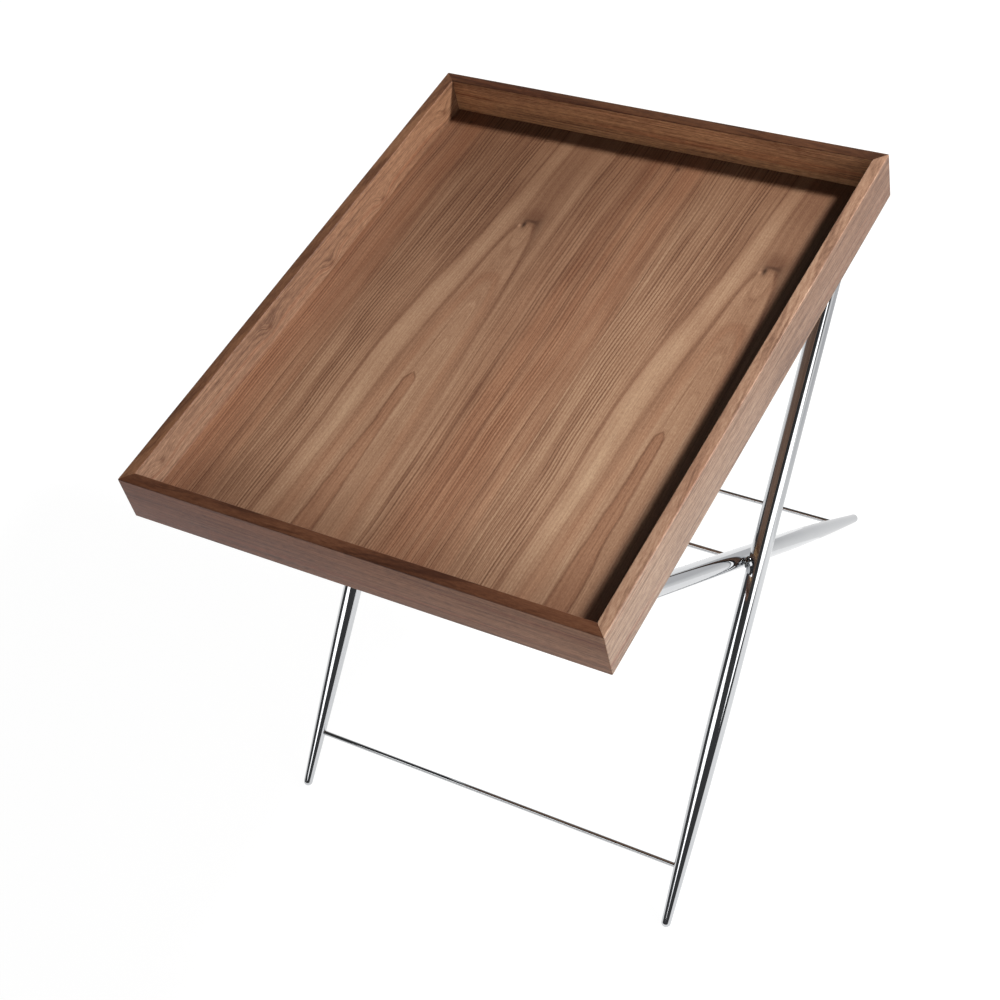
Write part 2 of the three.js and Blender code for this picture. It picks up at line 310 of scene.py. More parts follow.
def arch_distance(tree, off_heart, v, apex):
    """Signed distance, in millimetres, from the arch of grain that peaks at apex."""
    stretch = tree.step(off_heart, -6.0, 2.0, 1 / 1.2, 1.0)
    half = tree.times(tree.math("ABSOLUTE", tree.sum(off_heart, 2.0)), stretch)
    round_part = tree.math("MINIMUM", half, ARCH_ROUND)
    straight_part = tree.math("MAXIMUM", tree.minus(half, ARCH_ROUND), 0.0)
    square = tree.times(round_part, round_part)
    drop = tree.sum(
        tree.times(tree.times(square, round_part), ARCH_CUBIC),
        tree.times(straight_part, ARCH_SLOPE),
    )
    slope = tree.times(square, 3 * ARCH_CUBIC)
    steepness = tree.math("SQRT", tree.sum(tree.times(slope, slope), 1.0))
    return tree.math("DIVIDE", tree.sum(v, drop, -apex), steepness)


def walnut_panel():
    """Slip-matched crown-cut leaves: straight lined grain at both sides of each leaf, a pale
    stripe beside the heart, and arches below a knot on the heart line."""
    material, tree, shader = new_material(
        "walnut_panel", IOR=1.5, Specular_IOR_Level=0.32, Coat_Weight=0.06, Coat_Roughness=0.35,
    )
    x, y, z, v, off_heart = leaf_coordinates(tree)

    # Bands of grain close in on the heart towards the back of the tray; fine lines less so.
    heart_square = tree.times(off_heart, off_heart)
    side = tree.math("DIVIDE", off_heart, tree.math("SQRT", tree.sum(heart_square, 15.0 ** 2)))
    away = tree.math("ABSOLUTE", off_heart)
    on_left = tree.step(off_heart, 2.0, -2.0)
    closing_left = tree.times(
        tree.step(v, -60.0, 285.0, 0.0, 40.0),
        tree.step(away, 40.0, 150.0, 1.0, 0.0),
    )
    closing_right = tree.times(
        tree.sum(tree.step(v, -230.0, 60.0, 0.0, 20.0), tree.step(v, 150.0, 288.0, 0.0, -8.0)),
        tree.step(away, 25.0, 95.0, 1.0, 0.08),
    )
    closing = tree.sum(
        tree.times(closing_left, on_left),
        tree.times(closing_right, tree.minus(1.0, on_left)),
    )
    line = tree.sum(off_heart, tree.times(side, closing))
    fine_line = tree.sum(off_heart, tree.times(side, tree.times(closing, 0.4)))

    outside = tree.sum(tree.step(line, -60.0, -66.0), tree.step(line, 34.0, 48.0))
    crisp = tree.sum(tree.times(outside, 0.62), 0.38)

    # Growth lines: bands, irregular lines and close even ones, strongest left of the stripe.
    broad = tree.streaks(line, 0.055, v, 0.0015, 4.0, 2.0, 0.55)
    middle = tree.streaks(line, 0.17, v, 0.0028, 11.0, 2.0, 0.6)
    thin = tree.streaks(fine_line, 0.60, v, 0.0035, 17.0, 2.0, 0.55)
    drift = tree.streaks(line, 0.03, v, 0.004, 31.0)
    phase = tree.sum(tree.times(fine_line, 2 * math.pi / LINE_PITCH), tree.times(drift, 4.0))
    even = tree.step(tree.math("SINE", phase), 0.0, 1.0)
    even_share = tree.sum(tree.times(tree.step(line, -62.0, -72.0), 0.45), 0.65)
    calm = tree.step(line, -60.0, -68.0, 1.0, 0.35)
    even_fade = tree.step(tree.streaks(line, 0.09, v, 0.006, 41.0), 0.31, 0.55)

    # The figure about the heart: arches below the knot and the reddish finger at the front.
    outline = arch_distance(tree, off_heart, v, KNOT_HEIGHT)
    inner = arch_distance(tree, off_heart, v, INNER_ARCH_HEIGHT)
    nested = tree.streaks(inner, 0.075, v, 0.002, 77.0, 1.0)
    inside_arch = tree.times(tree.step(outline, -3.0, -13.0), tree.step(v, -110.0, 10.0, 0.25, 1.0))
    below_knot = tree.step(v, KNOT_HEIGHT + 2.0, KNOT_HEIGHT - 6.0)
    outline_fade = tree.step(v, -190.0, 120.0, 0.25, 1.0)
    above_knot = tree.times(tree.step(outline, 0.0, 8.0), tree.step(line, -42.0, -34.0))
    above_knot = tree.times(above_knot, tree.step(line, 36.0, 24.0))
    cloud = tree.streaks(x, 0.05, y, 0.018, 12.0, 3.0)
    finger_away = tree.math("ABSOLUTE", tree.minus(off_heart, FINGER_OFFSET))
    finger_below = tree.minus(FINGER_TIP, v)
    finger_half = tree.sum(
        tree.step(finger_below, -8.0, 12.0, -6.0, 5.0),
        tree.step(finger_below, 25.0, 235.0, 0.0, 6.0),
        tree.times(tree.minus(cloud, 0.5), 7.0),
    )
    finger_depth = tree.minus(finger_half, finger_away)
    finger = tree.step(finger_depth, -0.5, 1.5)
    finger_edge = tree.bump_at(finger_depth, 0.0, 1.6)

    mottle = tree.streaks(x, 0.011, y, 0.005, 2.0, 3.0)
    fleck = tree.streaks(x, 0.75, y, 0.30, 6.0, 3.0, 0.7)
    light = tree.sum(
        0.72,
        tree.times(tree.times(tree.minus(broad, 0.5), calm), 0.34),
        tree.times(tree.minus(mottle, 0.5), 0.28),
        tree.times(tree.minus(cloud, 0.5), 0.24),
        tree.times(tree.minus(fleck, 0.5), 0.60),
        tree.times(tree.times(tree.step(middle, 0.44, 0.66), calm), tree.times(crisp, -0.13)),
        tree.times(tree.times(tree.step(thin, 0.42, 0.62), crisp), -0.26),
        tree.times(tree.times(tree.times(even, even_share), even_fade), tree.times(crisp, -0.32)),
        tree.times(
            tree.bump_at(line, STRIPE, STRIPE_WIDTH), tree.step(v, 20.0, 250.0, 0.16, 0.05)
        ),
        # Painted pool of light right of the middle.
        tree.times(tree.bump_at(x, PAINTED_LIGHT_ZONE, PAINTED_LIGHT_ZONE_WIDTH), 0.10),
        tree.times(tree.bump_at(line, -64.0, 3.0), -0.14),
        tree.times(
            tree.bump_at(outline, 0.0, 3.0), tree.times(tree.times(below_knot, outline_fade), -0.30)
        ),
        tree.times(tree.bump_at(inner, 0.0, 5.0), tree.step(v, 84.0, 60.0, 0.0, -0.12)),
        tree.times(tree.times(tree.minus(nested, 0.5), inside_arch), 0.55),
        tree.times(above_knot, -0.11),
        tree.times(finger, -0.10),
        tree.times(finger_edge, -0.30),
    )
    colour = tree.ramp(light, [
        (0.00, rgb(88, 56, 40)),
        (0.25, rgb(116, 80, 60)),
        (0.50, rgb(145, 107, 82)),
        (0.75, rgb(168, 131, 103)),
        (1.00, rgb(192, 158, 127)),
    ])

    # Painted shade: darker towards the back and along the front rail, and darker underneath; redder
    # right of the heart.
    towards_back = tree.step(tree.sum(y, tree.times(x, -0.3)), -260.0, 320.0)
    shade = tree.ramp(towards_back, [
        (0.00, (0.99, 1.00, 1.01, 1)),
        (0.30, (0.94, 0.94, 0.94, 1)),
        (0.55, (0.87, 0.86, 0.86, 1)),
        (0.80, (0.75, 0.73, 0.72, 1)),
        (1.00, (0.56, 0.51, 0.48, 1)),
    ])
    colour = tree.mix(1.0, colour, shade, "MULTIPLY")
    # Painted shade along the front rail, where the rail blocks the low light.
    front_rail_shade = tree.step(y, -180.0, -290.0)
    colour = tree.mix(front_rail_shade, colour, (0.66, 0.63, 0.62, 1), "MULTIPLY")
    underside = tree.step(z, PANEL_TOP / MM - 3.0, PANEL_TOP / MM - 5.0)
    colour = tree.mix(underside, colour, (0.50, 0.50, 0.52, 1), "MULTIPLY")
    red = tree.sum(
        tree.times(tree.step(line, 44.0, 80.0), tree.step(broad, 0.40, 0.60, 0.3, 1.0)),
        tree.times(finger, 0.6),
        tree.times(tree.bump_at(inner, -5.0, 9.0), 0.5),
    )
    colour = tree.mix(tree.times(red, 0.45), colour, rgb(255, 226, 212), "MULTIPLY")

    vessels = pores(tree, v, line, 21.0)
    colour = tree.mix(tree.times(vessels, 0.30), colour, rgb(78, 48, 33))
    colour = knot_and_pins(tree, colour, x, y, v, off_heart, outline)
    finish_wood(tree, shader, colour, y, x, vessels)
    return material


def knot_and_pins(tree, colour, x, y, v, off_heart, outline):
    """The hooked knot on the heart line, with its pale fleck, and a few pin knots. A mark has
    its two coordinates, their middles and half-widths in millimetres, its share and its tone."""
    marks = (
        (off_heart, v, 1.0, KNOT_HEIGHT + 11.0, 16.0, 17.0, 0.60, rgb(88, 55, 39)),
        (off_heart, outline, 2.0, 3.2, 15.0, 3.6, 0.80, rgb(66, 40, 28)),
        (off_heart, v, -6.0, KNOT_HEIGHT - 3.0, 2.8, 7.0, 0.90, rgb(40, 22, 15)),
        (off_heart, v, -10.0, KNOT_HEIGHT - 5.5, 2.2, 3.0, 0.55, rgb(190, 150, 120)),
        (x, y, 37.0, 263.0, 3.4, 4.4, 0.85, rgb(56, 32, 22)),
        (x, y, -33.0, 268.0, 2.2, 3.0, 0.60, rgb(66, 40, 28)),
        (x, y, -207.0, 272.0, 3.0, 3.6, 0.75, rgb(56, 32, 22)),
    )
    for across, along, middle, height, half_width, half_height, share, tone in marks:
        spot = tree.times(
            tree.bump_at(across, middle, half_width), tree.bump_at(along, height, half_height)
        )
        colour = tree.mix(tree.times(spot, share), colour, tone)
    return colour


def walnut_rail(name, grain_axis, seed, near_painted_light, far_painted_light, top_painted_light, knots=()):
    """Solid walnut with its grain along the rail; seed moves the cut within the board. The tints,
    painted light and shade, multiply the colour of the upright faces at the left or front end, of
    the same faces at the right or back end, and of the top edge. Knots are (along, z) in millimetres."""
    material, tree, shader = new_material(
        name, IOR=1.5, Specular_IOR_Level=0.25, Coat_Weight=0.04, Coat_Roughness=0.35,
    )
    x, y, z = tree.object_mm()
    along, across = (x, y) if grain_axis == "x" else (y, x)
    wander = tree.streaks(along, 0.006, across, 0.03, tree.sum(tree.times(z, 0.03), seed))
    deep = tree.sum(across, seed * 13.0, tree.times(tree.minus(wander, 0.5), 22.0))
    high = tree.sum(z, -seed * 5.0, tree.times(along, 0.012))
    eyes = 0.0
    for knot_along, knot_z in knots:
        off = tree.times(tree.minus(along, knot_along), 0.6)
        drop = tree.minus(z, knot_z)
        away = tree.math("SQRT", tree.sum(tree.times(off, off), tree.times(drop, drop)))
        high = tree.sum(high, tree.times(tree.bump_at(away, 0.0, 13.0), 9.0))
        eyes = tree.math("MAXIMUM", tree.bump_at(away, 0.0, 3.6), eyes)
    flattened = tree.times(deep, tree.times(deep, 0.30))
    ring = tree.math("SQRT", tree.sum(flattened, tree.times(high, high)))
    broad = tree.streaks(ring, 0.07, along, 0.0030, seed, 3.0, 0.6)
    middle = tree.streaks(ring, 0.42, along, 0.006, seed + 5.0)
    thin = tree.streaks(ring, 1.3, along, 0.010, seed + 9.0)
    fleck = tree.streaks(across, 0.7, along, 0.13, tree.times(z, 0.7), 3.0, 0.7)
    light = tree.sum(
        0.58,
        tree.times(tree.minus(broad, 0.5), 0.42),
        tree.times(tree.minus(fleck, 0.5), 0.75),
        tree.times(tree.step(middle, 0.46, 0.64), -0.15),
        tree.times(tree.step(thin, 0.48, 0.66), -0.20),
    )
    colour = tree.ramp(light, [
        (0.00, rgb(89, 58, 44)),
        (0.30, rgb(123, 88, 68)),
        (0.55, rgb(160, 120, 94)),
        (1.00, rgb(204, 166, 136)),
    ])
    streak = tree.step(tree.streaks(ring, 0.16, along, 0.002, seed + 30.0, 1.0), 0.58, 0.72)
    colour = tree.mix(tree.times(streak, 0.4), colour, rgb(238, 190, 172), "MULTIPLY")
    if knots:
        colour = tree.mix(tree.times(eyes, 0.65), colour, rgb(98, 58, 40))
    top = tree.step(z, TRAY_TOP / MM - 1.1, TRAY_TOP / MM - 0.5)
    far = tree.step(along, -HALF_LENGTH / MM, HALF_LENGTH / MM)
    # Painted light and shade: each end of the upright faces and the top edge get their own tint.
    tint = tree.mix(top, tree.mix(far, near_painted_light, far_painted_light), top_painted_light)
    colour = tree.mix(1.0, colour, tint, "MULTIPLY")
    round_grain = tree.sum(across, z)
    vessels = pores(tree, along, round_grain, seed + 21.0)
    colour = tree.mix(tree.times(vessels, 0.32), colour, rgb(130, 104, 96), "MULTIPLY")
    finish_wood(tree, shader, colour, along, round_grain, vessels)
    return material


# ---------------------------------------------------------------- metal, plastic, beech

def chrome_material():
    """Bright plating: a mirror with faint polishing haze and a very slight waviness."""
    material, tree, shader = new_material("chrome", Metallic=1.0)
    x, y, z = tree.object_mm()
    place = tree.xyz(x, y, z)
    haze = tree.noise(place, 0.03, 4.0, 0.6)
    fine = tree.noise(place, 0.9, 2.0)
    tree.feed(shader.inputs["Base Color"], tree.mix(haze, rgb(194, 196, 199), rgb(204, 205, 206)))
    tree.feed(shader.inputs["Roughness"], tree.sum(0.035, tree.times(haze, 0.03)))
    tree.feed(shader.inputs["Normal"], tree.bump(fine, 0.05, 0.02 * MM))
    return material


def zinc_material():
    material, tree, shader = new_material("zinc", Metallic=1.0)
    x, y, z = tree.object_mm()
    place = tree.xyz(x, y, z)
    patch = tree.noise(place, 0.5, 3.0)
    fine = tree.noise(place, 3.0, 2.0)
    tree.feed(shader.inputs["Base Color"], tree.mix(patch, rgb(168, 170, 172), rgb(204, 204, 198)))
    tree.feed(shader.inputs["Roughness"], tree.sum(0.28, tree.times(fine, 0.16)))
    tree.feed(shader.inputs["Normal"], tree.bump(fine, 0.2, 0.05 * MM))
    return material


def plastic_material(name, dark, light, roughness, grain):
    """Moulded plastic with a fine spark-eroded texture; grain is its depth in millimetres."""
    material, tree, shader = new_material(name, IOR=1.5)
    x, y, z = tree.object_mm()
    place = tree.xyz(x, y, z)
    tone = tree.noise(place, 0.12, 3.0)
    fine = tree.noise(place, 2.4, 2.0)
    tree.feed(shader.inputs["Base Color"], tree.mix(tone, dark, light))
    tree.feed(shader.inputs["Roughness"], tree.sum(roughness, tree.times(fine, 0.12)))
    tree.feed(shader.inputs["Normal"], tree.bump(fine, 0.5, grain * MM))
    return material


def beech_material():
    """Planed beech: even and pale, with short dark ray flecks along the grain."""
    material, tree, shader = new_material("beech", IOR=1.5)
    x, y, z = tree.object_mm()
    band = tree.streaks(x, 0.004, y, 0.22, tree.times(z, 0.22), 3.0)
    fleck = tree.streaks(x, 0.35, y, 1.9, tree.times(z, 1.9), 1.0)
    spots = tree.step(fleck, 0.60, 0.70)
    colour = tree.ramp(band, [
        (0.25, rgb(176, 138, 98)),
        (0.75, rgb(206, 170, 128)),
    ])
    tree.feed(shader.inputs["Base Color"], tree.mix(tree.times(spots, 0.5), colour, rgb(132, 92, 60)))
    tree.feed(shader.inputs["Roughness"], tree.sum(0.55, tree.times(band, 0.15)))
    tree.feed(shader.inputs["Normal"], tree.bump(tree.times(spots, -1.0), 0.3, 0.08 * MM))
    return material


PANEL_WALNUT = walnut_panel()
LEFT_KNOTS = ((-255, 507), (-75, 507), (32, 495), (131, 495), (262, 503))
# Each rail's three tints are painted light and shade: near end, far end and top edge.
RAIL_WALNUT = {
    "right": walnut_rail(
        "walnut_rail_right", "y", 3.1,
        (0.76, 0.93, 1.08, 1), (0.51, 0.53, 0.56, 1), (0.88, 0.93, 0.98, 1),
    ),
    "left": walnut_rail(
        "walnut_rail_left", "y", 6.4,
        (0.80, 0.87, 0.92, 1), (0.70, 0.66, 0.60, 1), (0.58, 0.49, 0.41, 1), LEFT_KNOTS,
    ),
    "front": walnut_rail(
        "walnut_rail_front", "x", 8.2,
        (0.41, 0.24, 0.18, 1), (0.58, 0.50, 0.43, 1), (0.30, 0.21, 0.165, 1),
    ),
    "back": walnut_rail(
        "walnut_rail_back", "x", 5.3,
        (1.50, 1.40, 1.15, 1), (1.60, 1.50, 1.25, 1), (0.26, 0.19, 0.14, 1),
    ),
}
CHROME = chrome_material()
ZINC = zinc_material()
NYLON = plastic_material("nylon", rgb(214, 210, 198), rgb(230, 227, 217), 0.42, 0.03)
BLACK_PLASTIC = plastic_material("cap_plastic", rgb(28, 28, 30), rgb(44, 44, 46), 0.45, 0.06)
BEECH = beech_material()


# ---------------------------------------------------------------- mesh helpers

SMOOTH_BELOW = math.radians(32)
ON_AXIS = 1e-7
ON_PLANE = 1e-7


def add_object(name, shape, material, body, slot, *nodes):
    """Object from a filled bmesh, riding on its body in place of the CAD nodes."""
    mesh = bpy.data.meshes.new(name)
    bmesh.ops.recalc_face_normals(shape, faces=shape.faces)
    shape.to_mesh(mesh)
    shape.free()
    mesh.materials.append(material)
    thing = bpy.data.objects.new(name, mesh)
    bpy.context.scene.collection.objects.link(thing)
    smooth_by_angle(mesh, SMOOTH_BELOW)
    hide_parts(*nodes)
    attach(thing, body)


def smooth_by_angle(mesh, angle):
    """Smooth shading, with edges sharper than the angle kept crisp."""
    mesh.polygons.foreach_set("use_smooth", [True] * len(mesh.polygons))
    shape = bmesh.new()
    shape.from_mesh(mesh)
    for edge in shape.edges:
        edge.smooth = len(edge.link_faces) == 2 and edge.calc_face_angle(0.0) < angle
    shape.to_mesh(mesh)
    shape.free()


def revolve(profile, sides, place):
    """Turned solid from [radius, height] pairs about local Z, moved by the matrix place.
    A pair on the axis becomes one point; a profile that starts off the axis is a ring."""
    shape = bmesh.new()
    rings = []
    for radius, height in profile:
        if radius < ON_AXIS:
            rings.append([shape.verts.new(place @ Vector((0, 0, height)))])
            continue
        ring = []
        for i in range(sides):
            angle = 2 * math.pi * i / sides
            spot = Vector((radius * math.cos(angle), radius * math.sin(angle), height))
            ring.append(shape.verts.new(place @ spot))
        rings.append(ring)
    closed = len(rings[0]) > 1
    next_rings = rings[1:] + rings[:1] if closed else rings[1:]
    for lower, upper in zip(rings, next_rings):
        for i in range(sides):
            j = (i + 1) % sides
            face = list(dict.fromkeys((
                lower[i % len(lower)], lower[j % len(lower)],
                upper[j % len(upper)], upper[i % len(upper)],
            )))
            if len(face) > 2:
                shape.faces.new(face)
    return shape


def rounded(radius, height, corner, steps=4):
    """Quarter arc of [radius, height] pairs round the outer corner at the top of a cylinder."""
    return [
        (radius - corner + corner * math.cos(a), height - corner + corner * math.sin(a))
        for a in (math.pi / 2 * i / steps for i in range(steps + 1))
    ]


ALONG_X = Matrix.Rotation(math.pi / 2, 4, "Y")


# ---------------------------------------------------------------- tray

EASE = 0.9 * MM
EASE_STEPS = 4
CORNER_EASE = 2.2 * MM
CORNER_STEPS = 5
SHARP = math.radians(60)
SAME_HEIGHT = 1e-6
GROOVE_DEPTH = 5.3 * MM
GROOVE_HALF = 2.3 * MM
MITRE_LINE = 0.05 * MM


def rim_shape():
    """The four rails as one grooved ring with eased edges, before the mitres are cut."""
    groove = (PANEL_TOP + PANEL_BOTTOM) / 2
    section = [
        (0, TRAY_BOTTOM),
        (0, TRAY_TOP),
        (RAIL, TRAY_TOP),
        (RAIL, groove + GROOVE_HALF),
        (RAIL - GROOVE_DEPTH, groove + GROOVE_HALF),
        (RAIL - GROOVE_DEPTH, groove - GROOVE_HALF),
        (RAIL, groove - GROOVE_HALF),
        (RAIL, TRAY_BOTTOM),
    ]
    shape = bmesh.new()
    corners = [
        [
            shape.verts.new((sx * (HALF_WIDTH - inset), sy * (HALF_LENGTH - inset), z))
            for inset, z in section
        ]
        for sx, sy in ((1, 1), (-1, 1), (-1, -1), (1, -1))
    ]
    for i in range(4):
        here, there = corners[i], corners[(i + 1) % 4]
        for k in range(len(section)):
            m = (k + 1) % len(section)
            shape.faces.new((here[k], there[k], there[m], here[m]))
    upright = [shape.edges.get((corner[0], corner[1])) for corner in corners]
    bmesh.ops.bevel(
        shape, geom=upright, offset=CORNER_EASE, segments=CORNER_STEPS, profile=0.5,
        affect="EDGES", offset_type="WIDTH",
    )

    def eased(edge):
        if len(edge.link_faces) != 2 or edge.calc_face_angle(0.0) < SHARP:
            return False
        heights = [v.co.z for v in edge.verts]
        level = abs(heights[0] - heights[1]) < SAME_HEIGHT
        at_end = min(abs(heights[0] - TRAY_TOP), abs(heights[0] - TRAY_BOTTOM)) < SAME_HEIGHT
        return level and at_end

    edges = [edge for edge in shape.edges if eased(edge)]
    bmesh.ops.bevel(
        shape, geom=edges, offset=EASE, segments=EASE_STEPS, profile=0.5, affect="EDGES",
    )
    return shape


def cut_by_plane(shape, point, normal):
    """Keeps what lies behind the plane and closes the cut."""
    geometry = list(shape.verts) + list(shape.edges) + list(shape.faces)
    result = bmesh.ops.bisect_plane(
        shape, geom=geometry, plane_co=point, plane_no=normal, clear_outer=True, dist=ON_PLANE,
    )
    rim = [item for item in result["geom_cut"] if isinstance(item, bmesh.types.BMEdge)]
    bmesh.ops.triangle_fill(shape, edges=rim, use_beauty=True)


def make_rails():
    """Four whole rims, each cut at the mitres down to one rail."""
    ways = {"right": (1, 0), "left": (-1, 0), "back": (0, 1), "front": (0, -1)}
    for name, (wx, wy) in ways.items():
        shape = rim_shape()
        for turn in (-1, 1):
            corner_x = wx or turn
            corner_y = wy or turn
            corner = Vector((corner_x * HALF_WIDTH, corner_y * HALF_LENGTH, 0))
            towards_end = Vector((0 if wx else corner_x, 0 if wy else corner_y, 0))
            outward = (towards_end - Vector((wx, wy, 0))).normalized()
            cut_by_plane(shape, corner - outward * MITRE_LINE, outward)
        add_object(
            f"walnut_rail_{name}", shape, RAIL_WALNUT[name], "tray", "walnut_rail", f"rail_{name}",
        )


make_rails()

# The CAD nodes that stay; the rails, legs, caps, rods and washers are replaced.
KEPT_NODE_MATERIALS = (
    ("tray_panel", PANEL_WALNUT),
    ("mitre_key", BEECH),
    ("saddle_front", BEECH),
    ("saddle_back", BEECH),
    ("saddle_screw", ZINC),
    ("pivot_insert", ZINC),
    ("pivot_bush", NYLON),
)
for node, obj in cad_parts.items():
    for start, material in KEPT_NODE_MATERIALS:
        if node.startswith(start):
            obj.data.materials.clear()
            obj.data.materials.append(material)


# ---------------------------------------------------------------- stand

TUBE_WALL = 1.5 * MM
FOOT_RADIUS = 4.8 * MM
TAPER = 260 * MM
TOP_ROD_BELOW_END = 14 * MM
BORE_FLOOR = 24 * MM
BORE_START = 32 * MM
BORE_TAPER_MIDDLE = 100 * MM
LEG_SIDES = 72
CAP_SIDES = 48
ROD_SIDES = 40
WASHER_SIDES = 56
FOOT_STEPS = 12
TAPER_STEPS = 40
DOME_STEPS = 10
GAP = 0.3 * MM


def leg_radius(from_tip):
    """Outer radius at a distance from the foot's tip: the taper eases into the tube."""
    along = min(1.0, (from_tip - FOOT_RADIUS) / (TAPER - FOOT_RADIUS))
    return FOOT_RADIUS + (TUBE_RADIUS - FOOT_RADIUS) * math.sin(math.pi / 2 * along)


def leg_profile(length):
    """Rounded foot, taper, straight tube with a softened open end, and its bore."""
    foot = [
        (FOOT_RADIUS * math.sin(a), FOOT_RADIUS * (1 - math.cos(a)))
        for a in (math.pi / 2 * i / FOOT_STEPS for i in range(FOOT_STEPS + 1))
    ]
    steps = (i / TAPER_STEPS for i in range(1, TAPER_STEPS + 1))
    places = [FOOT_RADIUS + (TAPER - FOOT_RADIUS) * step for step in steps]
    taper = [(leg_radius(place), place) for place in places]
    top = rounded(TUBE_RADIUS, length, 0.4 * MM)
    bore_radius = TUBE_RADIUS - TUBE_WALL
    bore = [
        (bore_radius, length),
        (bore_radius, TAPER),
        (leg_radius(BORE_TAPER_MIDDLE) - TUBE_WALL, BORE_TAPER_MIDDLE),
        (leg_radius(BORE_START) - TUBE_WALL, BORE_START),
        (0, BORE_FLOOR),
    ]
    return foot + taper + top + bore


def frame_axis(label):
    """Unit vector up the leaning legs, and the pivot to top rod vector."""
    top = centre(f"top_rod_{label}")
    lean = Vector((0, top.y - PIVOT.y, top.z - PIVOT.z))
    return lean.normalized(), lean


def leg_matrix(label, x, start):
    """Places local Z up the leg, with local zero at distance start from the pivot."""
    up, _ = frame_axis(label)
    spin = Vector((0, 0, 1)).rotation_difference(up).to_matrix().to_4x4()
    return Matrix.Translation(Vector((x, PIVOT.y, PIVOT.z)) + up * start) @ spin


def make_legs():
    """Tubes from the foot's rounded tip to the end above the top rod, and their caps."""
    for label in ("outer", "inner"):
        up, to_rod = frame_axis(label)
        foot_low, foot_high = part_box(f"leg_{label}_right")
        ball = Vector((0, (foot_low.y if up.y > 0 else foot_high.y), FOOT_RADIUS))
        ball.y += math.copysign(FOOT_RADIUS, up.y)
        pivot_to_tip = (Vector((0, PIVOT.y, PIVOT.z)) - ball).length + FOOT_RADIUS
        length = pivot_to_tip + to_rod.length + TOP_ROD_BELOW_END
        for side, name in ((-1, "left"), (1, "right")):
            place = leg_matrix(label, side * LEG_X[label], -pivot_to_tip)
            add_object(
                f"chrome_leg_{label}_{name}", revolve(leg_profile(length), LEG_SIDES, place),
                CHROME, f"{label}_frame", "chrome", f"leg_{label}_{name}",
            )
            cap = leg_matrix(label, side * LEG_X[label], to_rod.length + TOP_ROD_BELOW_END)
            add_object(
                f"end_cap_{label}_{name}", revolve(cap_profile(), CAP_SIDES, cap),
                BLACK_PLASTIC, f"{label}_frame", "cap_plastic", f"leg_cap_{label}_{name}",
            )


def cap_profile():
    """Domed cap with a plug; height 0 is the end of the tube."""
    plug = TUBE_RADIUS - TUBE_WALL - GAP
    plug_end = -8 * MM
    chamfer = 1 * MM
    rim = 1.5 * MM
    dome = 3.0 * MM
    sphere = (TUBE_RADIUS ** 2 + dome ** 2) / (2 * dome)
    edge = math.asin(TUBE_RADIUS / sphere)
    arc = [
        (sphere * math.sin(edge * s), rim + dome - sphere * (1 - math.cos(edge * s)))
        for s in (1 - i / DOME_STEPS for i in range(DOME_STEPS))
    ]
    return [
        (0, plug_end),
        (plug - chamfer, plug_end),
        (plug, plug_end + chamfer),
        (plug, GAP),
        (TUBE_RADIUS - GAP, GAP),
        (TUBE_RADIUS, 2 * GAP),
        *arc,
        (0, rim + dome),
    ]


def mirrored(arc):
    """The same arc round the lower end."""
    return [(radius, -height) for radius, height in reversed(arc)]


def make_rods():
    for node, body in (
        ("top_rod_outer", "outer_frame"), ("foot_rod_outer", "outer_frame"),
        ("pivot_rod", "outer_frame"), ("top_rod_inner", "inner_frame"),
        ("foot_rod_inner", "inner_frame"),
    ):
        half = extent(node).x / 2
        end = rounded(ROD_RADIUS, half, 0.5 * MM)
        profile = [(0, -half), *mirrored(end), *end, (0, half)]
        place = Matrix.Translation(centre(node)) @ ALONG_X
        rod = revolve(profile, ROD_SIDES, place)
        add_object(f"chrome_{node}", rod, CHROME, body, "chrome", node)


def make_washers():
    for name in ("left", "right"):
        node = f"pivot_washer_{name}"
        half = extent(node).x / 2
        bore = ROD_RADIUS + GAP
        rim = rounded(extent(node).z / 2, half, 0.25 * MM)
        profile = [(bore, -half), *mirrored(rim), *rim, (bore, half)]
        place = Matrix.Translation(centre(node)) @ ALONG_X
        washer = revolve(profile, WASHER_SIDES, place)
        add_object(f"chrome_{node}", washer, CHROME, "outer_frame", "chrome", node)


make_legs()
make_rods()
make_washers()


# ---------------------------------------------------------------- studio

FLOOR_REACH = 9.0
FLOOR_DROP = -0.0005
CARD_LIFT = 0.0002
CARD_LEFT, CARD_FRONT, CARD_FAR = 0.12, 0.22, 5.0
CURTAIN_RADIUS = 4.5
CURTAIN_HEIGHTS = (-0.2, 3.4)
CURTAIN_AZIMUTHS = range(-172, -11, 4)


def flat_sheet(name, low, high, height, material):
    """Rectangle of the stage, parallel to the floor."""
    mesh = bpy.data.meshes.new(name)
    corners = [(low[0], low[1], 0), (high[0], low[1], 0), (high[0], high[1], 0), (low[0], high[1], 0)]
    mesh.from_pydata(corners, [], [(0, 1, 2, 3)])
    mesh.materials.append(material)
    sheet = bpy.data.objects.new(name, mesh)
    bpy.context.scene.collection.objects.link(sheet)
    sheet.location.z = height
    return sheet


def make_floor():
    """Pale floor, mostly lit by its own glow, so that it stays even and nearly white."""
    material, _, _ = new_material(
        "floor", Roughness=0.9, Base_Color=(0.13, 0.13, 0.13, 1), Specular_IOR_Level=0.0,
        Emission_Color=(1, 1, 1, 1), Emission_Strength=0.97,
    )
    corner = (FLOOR_REACH, FLOOR_REACH)
    flat_sheet("floor", (-FLOOR_REACH, -FLOOR_REACH), corner, FLOOR_DROP, material)


def bearing(azimuth, elevation):
    """Unit vector, with azimuth in degrees from +X towards +Y and elevation above the floor."""
    a, e = math.radians(azimuth), math.radians(elevation)
    return Vector((math.cos(a) * math.cos(e), math.sin(a) * math.cos(e), math.sin(e)))


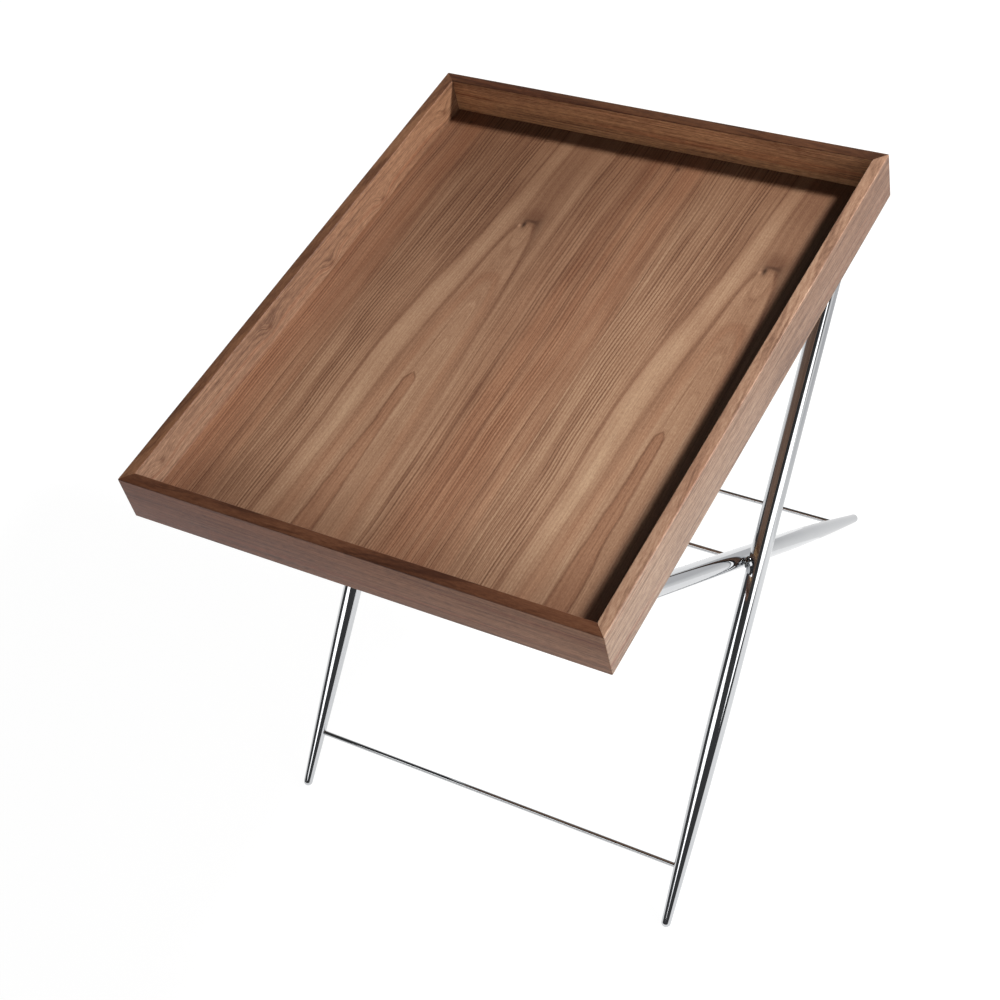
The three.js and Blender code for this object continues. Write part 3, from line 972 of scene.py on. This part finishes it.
def make_curtain():
    """Dark cloth round the camera's side of the studio, seen only in reflections."""
    material, _, _ = new_material(
        "black_cloth", Roughness=1.0, Base_Color=(0.012, 0.012, 0.013, 1), Specular_IOR_Level=0.0,
        Emission_Color=(0.96, 0.97, 1, 1), Emission_Strength=0.050,
    )
    shape = bmesh.new()
    columns = []
    for azimuth in CURTAIN_AZIMUTHS:
        foot = bearing(azimuth, 0) * CURTAIN_RADIUS
        columns.append([shape.verts.new((foot.x, foot.y, z)) for z in CURTAIN_HEIGHTS])
    for left, right in zip(columns, columns[1:]):
        shape.faces.new((left[0], right[0], right[1], left[1]))
    mesh = bpy.data.meshes.new("curtain")
    shape.to_mesh(mesh)
    shape.free()
    mesh.materials.append(material)
    curtain = bpy.data.objects.new("curtain", mesh)
    bpy.context.scene.collection.objects.link(curtain)
    curtain.visible_camera = False
    curtain.visible_shadow = False
    curtain.visible_diffuse = False


def make_grey_card():
    """Sheet on the floor behind the table that glows grey, seen only in reflections; its glow, paler
    towards the table, is painted light for the floor.
    """
    material, tree, shader = new_material(
        "grey_card", Roughness=1.0, Base_Color=(0.0, 0.0, 0.0, 1), Specular_IOR_Level=0.0,
        Emission_Strength=1.0,
    )
    _, y, _ = tree.object_mm()
    glow = tree.ramp(tree.math("DIVIDE", y, 1000.0), [
        (0.22, (0.97, 0.97, 0.97, 1)),
        (0.62, (0.66, 0.66, 0.67, 1)),
    ])
    tree.feed(shader.inputs["Emission Color"], glow)
    corner = (CARD_FAR, CARD_FAR)
    card = flat_sheet("grey_card", (CARD_LEFT, CARD_FRONT), corner, CARD_LIFT, material)
    card.visible_camera = False
    card.visible_shadow = False
    card.visible_diffuse = False


def make_world():
    """Pale round the horizon and dark overhead."""
    world = bpy.data.worlds.new("studio")
    bpy.context.scene.world = world
    world.use_nodes = True
    tree = Tree(world.node_tree)
    direction = tree.add("ShaderNodeTexCoord").outputs["Generated"]
    _, _, z = tree.split(direction)
    height = tree.sum(tree.times(z, 0.5), 0.5)
    colour = tree.ramp(height, [
        (0.0, (0.95, 0.95, 0.95, 1)),
        (0.56, (0.95, 0.95, 0.95, 1)),
        (0.64, (0.09, 0.09, 0.09, 1)),
        (1.0, (0.015, 0.015, 0.015, 1)),
    ])
    background = tree.add("ShaderNodeBackground")
    tree.feed(background.inputs[0], colour)
    output = tree.add("ShaderNodeOutputWorld")
    tree.feed(output.inputs[0], background.outputs[0])


def softbox(name, place, aim, width, height, radiance):
    """Rectangular light of even radiance that the camera itself doesn't see."""
    place = Vector(place)
    data = bpy.data.lights.new(name, "AREA")
    data.shape = "RECTANGLE"
    data.size = width
    data.size_y = height
    data.energy = radiance * math.pi * width * height
    lamp = bpy.data.objects.new(name, data)
    bpy.context.scene.collection.objects.link(lamp)
    lamp.location = place
    lamp.rotation_euler = (aim - place).to_track_quat("-Z", "Y").to_euler()
    lamp.visible_camera = False
    return lamp


def make_lights():
    tray = Vector((0, 0, PANEL_TOP))
    legs = Vector((0.2, -0.1, 0.2))

    # The key stands behind the right of the tray and draws the shadows inside the rails.
    softbox("key", tray + Vector((0.600, 0.440, 0.595)) * 3.0, tray, 0.36, 0.36, 312.0)

    panel_fill = softbox("panel_fill", (0.70, -0.70, 1.08), tray, 0.50, 0.42, 0.7)
    panel_fill.visible_glossy = False

    # The side box and the strip draw the bright lines along the chrome.
    softbox("side_box", (1.13, -0.36, 0.73), legs, 0.72, 0.64, 2.4)
    strip = softbox("strip", legs + bearing(-114, 30.5) * 3.7, legs, 2.6, 0.85, 2.4)
    strip.visible_diffuse = False

    front_place = legs + bearing(-92, 9) * 2.2
    front_fill = softbox("front_fill", front_place, tray, 1.2, 0.55, 1.9)
    front_fill.visible_glossy = False


make_floor()
make_curtain()
make_grey_card()
make_world()
make_lights()

bpy.context.scene.view_settings.view_transform = "Standard"
